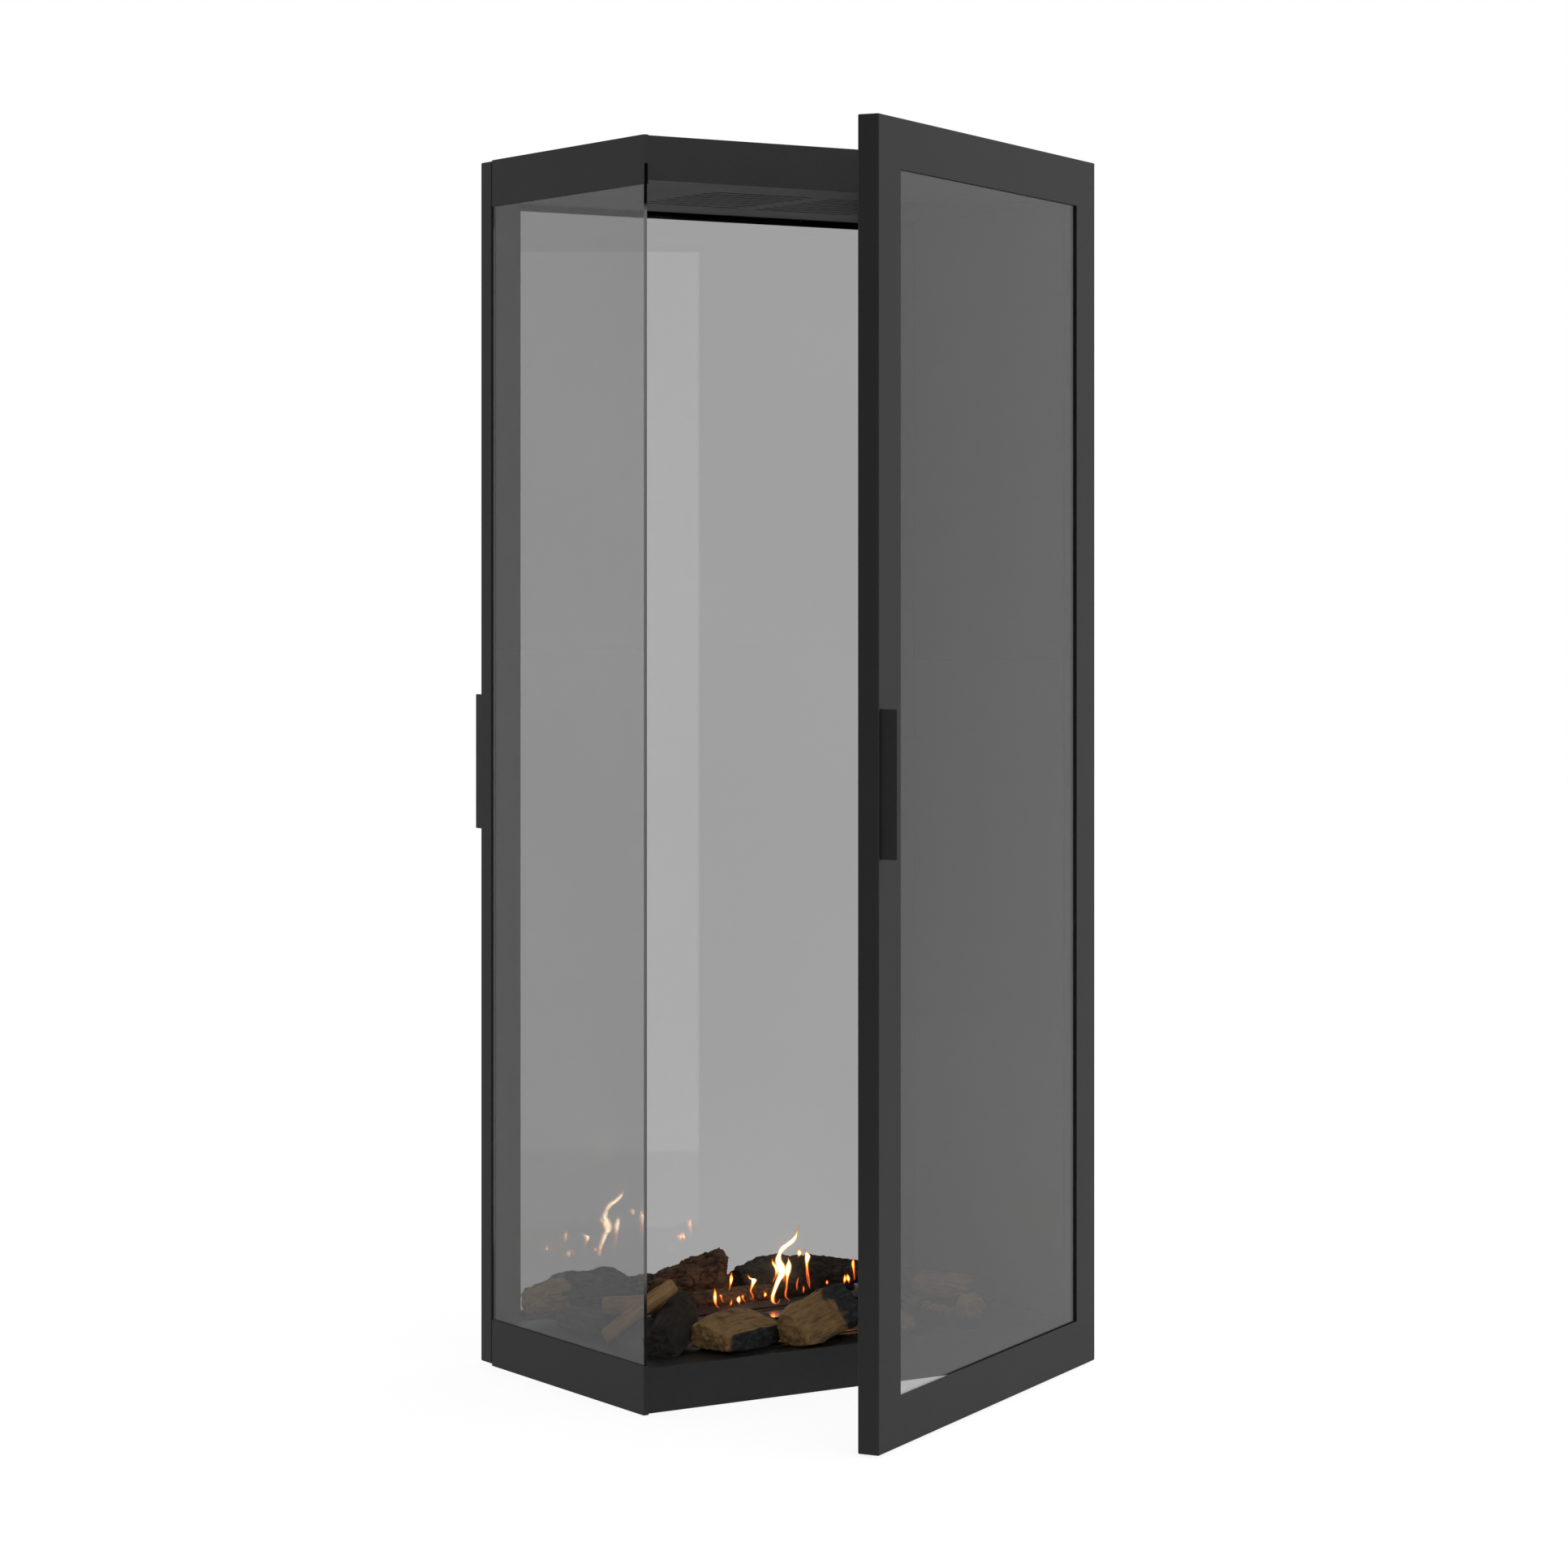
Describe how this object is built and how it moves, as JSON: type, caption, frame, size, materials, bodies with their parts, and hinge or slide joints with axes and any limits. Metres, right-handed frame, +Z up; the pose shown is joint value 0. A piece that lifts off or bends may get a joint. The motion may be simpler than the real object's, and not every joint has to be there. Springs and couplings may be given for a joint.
{
  "type": "bioethanol fireplace",
  "caption": "Tall room-divider bioethanol fireplace in black steel, with hinged glass doors at front and rear, a fixed glass side, a closed wall and ceramic logs round a shuttered burner.",
  "frame": {"origin": "middle of the underside of the body, on the floor", "axes": "+X across the front towards the closed wall, +Y from the front door to the rear door, +Z up"},
  "size_m": [0.6141, 0.7329, 1.43],
  "materials": {
    "powder_coated_steel": "fine-textured matt black powder coat",
    "tinted_glass": "clear polished float glass with a light grey tint",
    "silicone_rubber": "matt black silicone",
    "nickel_plate": "bright nickel plate",
    "zinc_plated_steel": "black zinc plate",
    "burner_steel": "brushed stainless steel",
    "ceramic_fibre": "soft white fibre",
    "ceramic_wood": "matt ceramic, coloured as split wood",
    "ceramic_bark": "matt ceramic, coloured as bark",
    "ceramic_char": "matt ceramic, coloured as charred wood",
    "flame": "burning vapour, seen only in the visual model"
  },
  "bodies": {
    "cabinet": {"bark_log": "ceramic_bark", "base_plate": "powder_coated_steel", "block_log": "ceramic_wood", "burner_box": "burner_steel", "burner_plate": "burner_steel", "burner_wick": "ceramic_fibre", "ceiling_plate": "powder_coated_steel", "charcoal_log": "ceramic_char", "charred_chunk": "ceramic_char", "charred_rear_log": "ceramic_char", "footer_front": "powder_coated_steel", "footer_rear": "powder_coated_steel", "front_log": "ceramic_wood", "header_front": "powder_coated_steel", "header_rear": "powder_coated_steel", "hearth_plate": "powder_coated_steel", "hinge_pins": "zinc_plated_steel", "hinge_wall_leaves": "powder_coated_steel", "leaning_log": "ceramic_wood", "log_offcuts": "ceramic_wood", "lower_split_log": "ceramic_wood", "rear_left_log": "ceramic_wood", "red_brown_log": "ceramic_bark", "side_band_bottom": "powder_coated_steel", "side_band_top": "powder_coated_steel", "side_glass": "tinted_glass", "side_glass_pads": "silicone_rubber", "top_plate": "powder_coated_steel", "upper_split_log": "ceramic_wood", "wall_liner": "powder_coated_steel", "wall_post_front": "powder_coated_steel", "wall_post_rear": "powder_coated_steel", "wall_screws": "zinc_plated_steel", "wall_skin": "powder_coated_steel"},
    "front_door": {"front_bead_screws": "zinc_plated_steel", "front_beads": "powder_coated_steel", "front_gasket": "silicone_rubber", "front_glass": "tinted_glass", "front_handle": "powder_coated_steel", "front_hinge_leaves": "powder_coated_steel", "front_hinge_screws": "zinc_plated_steel", "front_magnets": "nickel_plate", "front_rail_bottom": "powder_coated_steel", "front_rail_top": "powder_coated_steel", "front_stile_free": "powder_coated_steel", "front_stile_hinge": "powder_coated_steel"},
    "rear_door": {"rear_bead_screws": "zinc_plated_steel", "rear_beads": "powder_coated_steel", "rear_gasket": "silicone_rubber", "rear_glass": "tinted_glass", "rear_handle": "powder_coated_steel", "rear_hinge_leaves": "powder_coated_steel", "rear_hinge_screws": "zinc_plated_steel", "rear_magnets": "nickel_plate", "rear_rail_bottom": "powder_coated_steel", "rear_rail_top": "powder_coated_steel", "rear_stile_free": "powder_coated_steel", "rear_stile_hinge": "powder_coated_steel"},
    "shutter": {"burner_shutter": "burner_steel", "shutter_knob": "burner_steel"}
  },
  "joints": [
    {"name": "front_door_hinge", "type": "hinge", "parent": "cabinet", "child": "front_door", "pos_m": [0.3045, -0.174, 0], "axis": [0, 0, 1], "range_deg": [-30, 80]},
    {"name": "rear_door_hinge", "type": "hinge", "parent": "cabinet", "child": "rear_door", "pos_m": [0.3045, 0.174, 0], "axis": [0, 0, -1], "range_deg": [0, 110]},
    {"name": "shutter_slide", "type": "slide", "parent": "cabinet", "child": "shutter", "axis": [0, -1, 0], "range_m": [0, 0.028]}
  ]
}
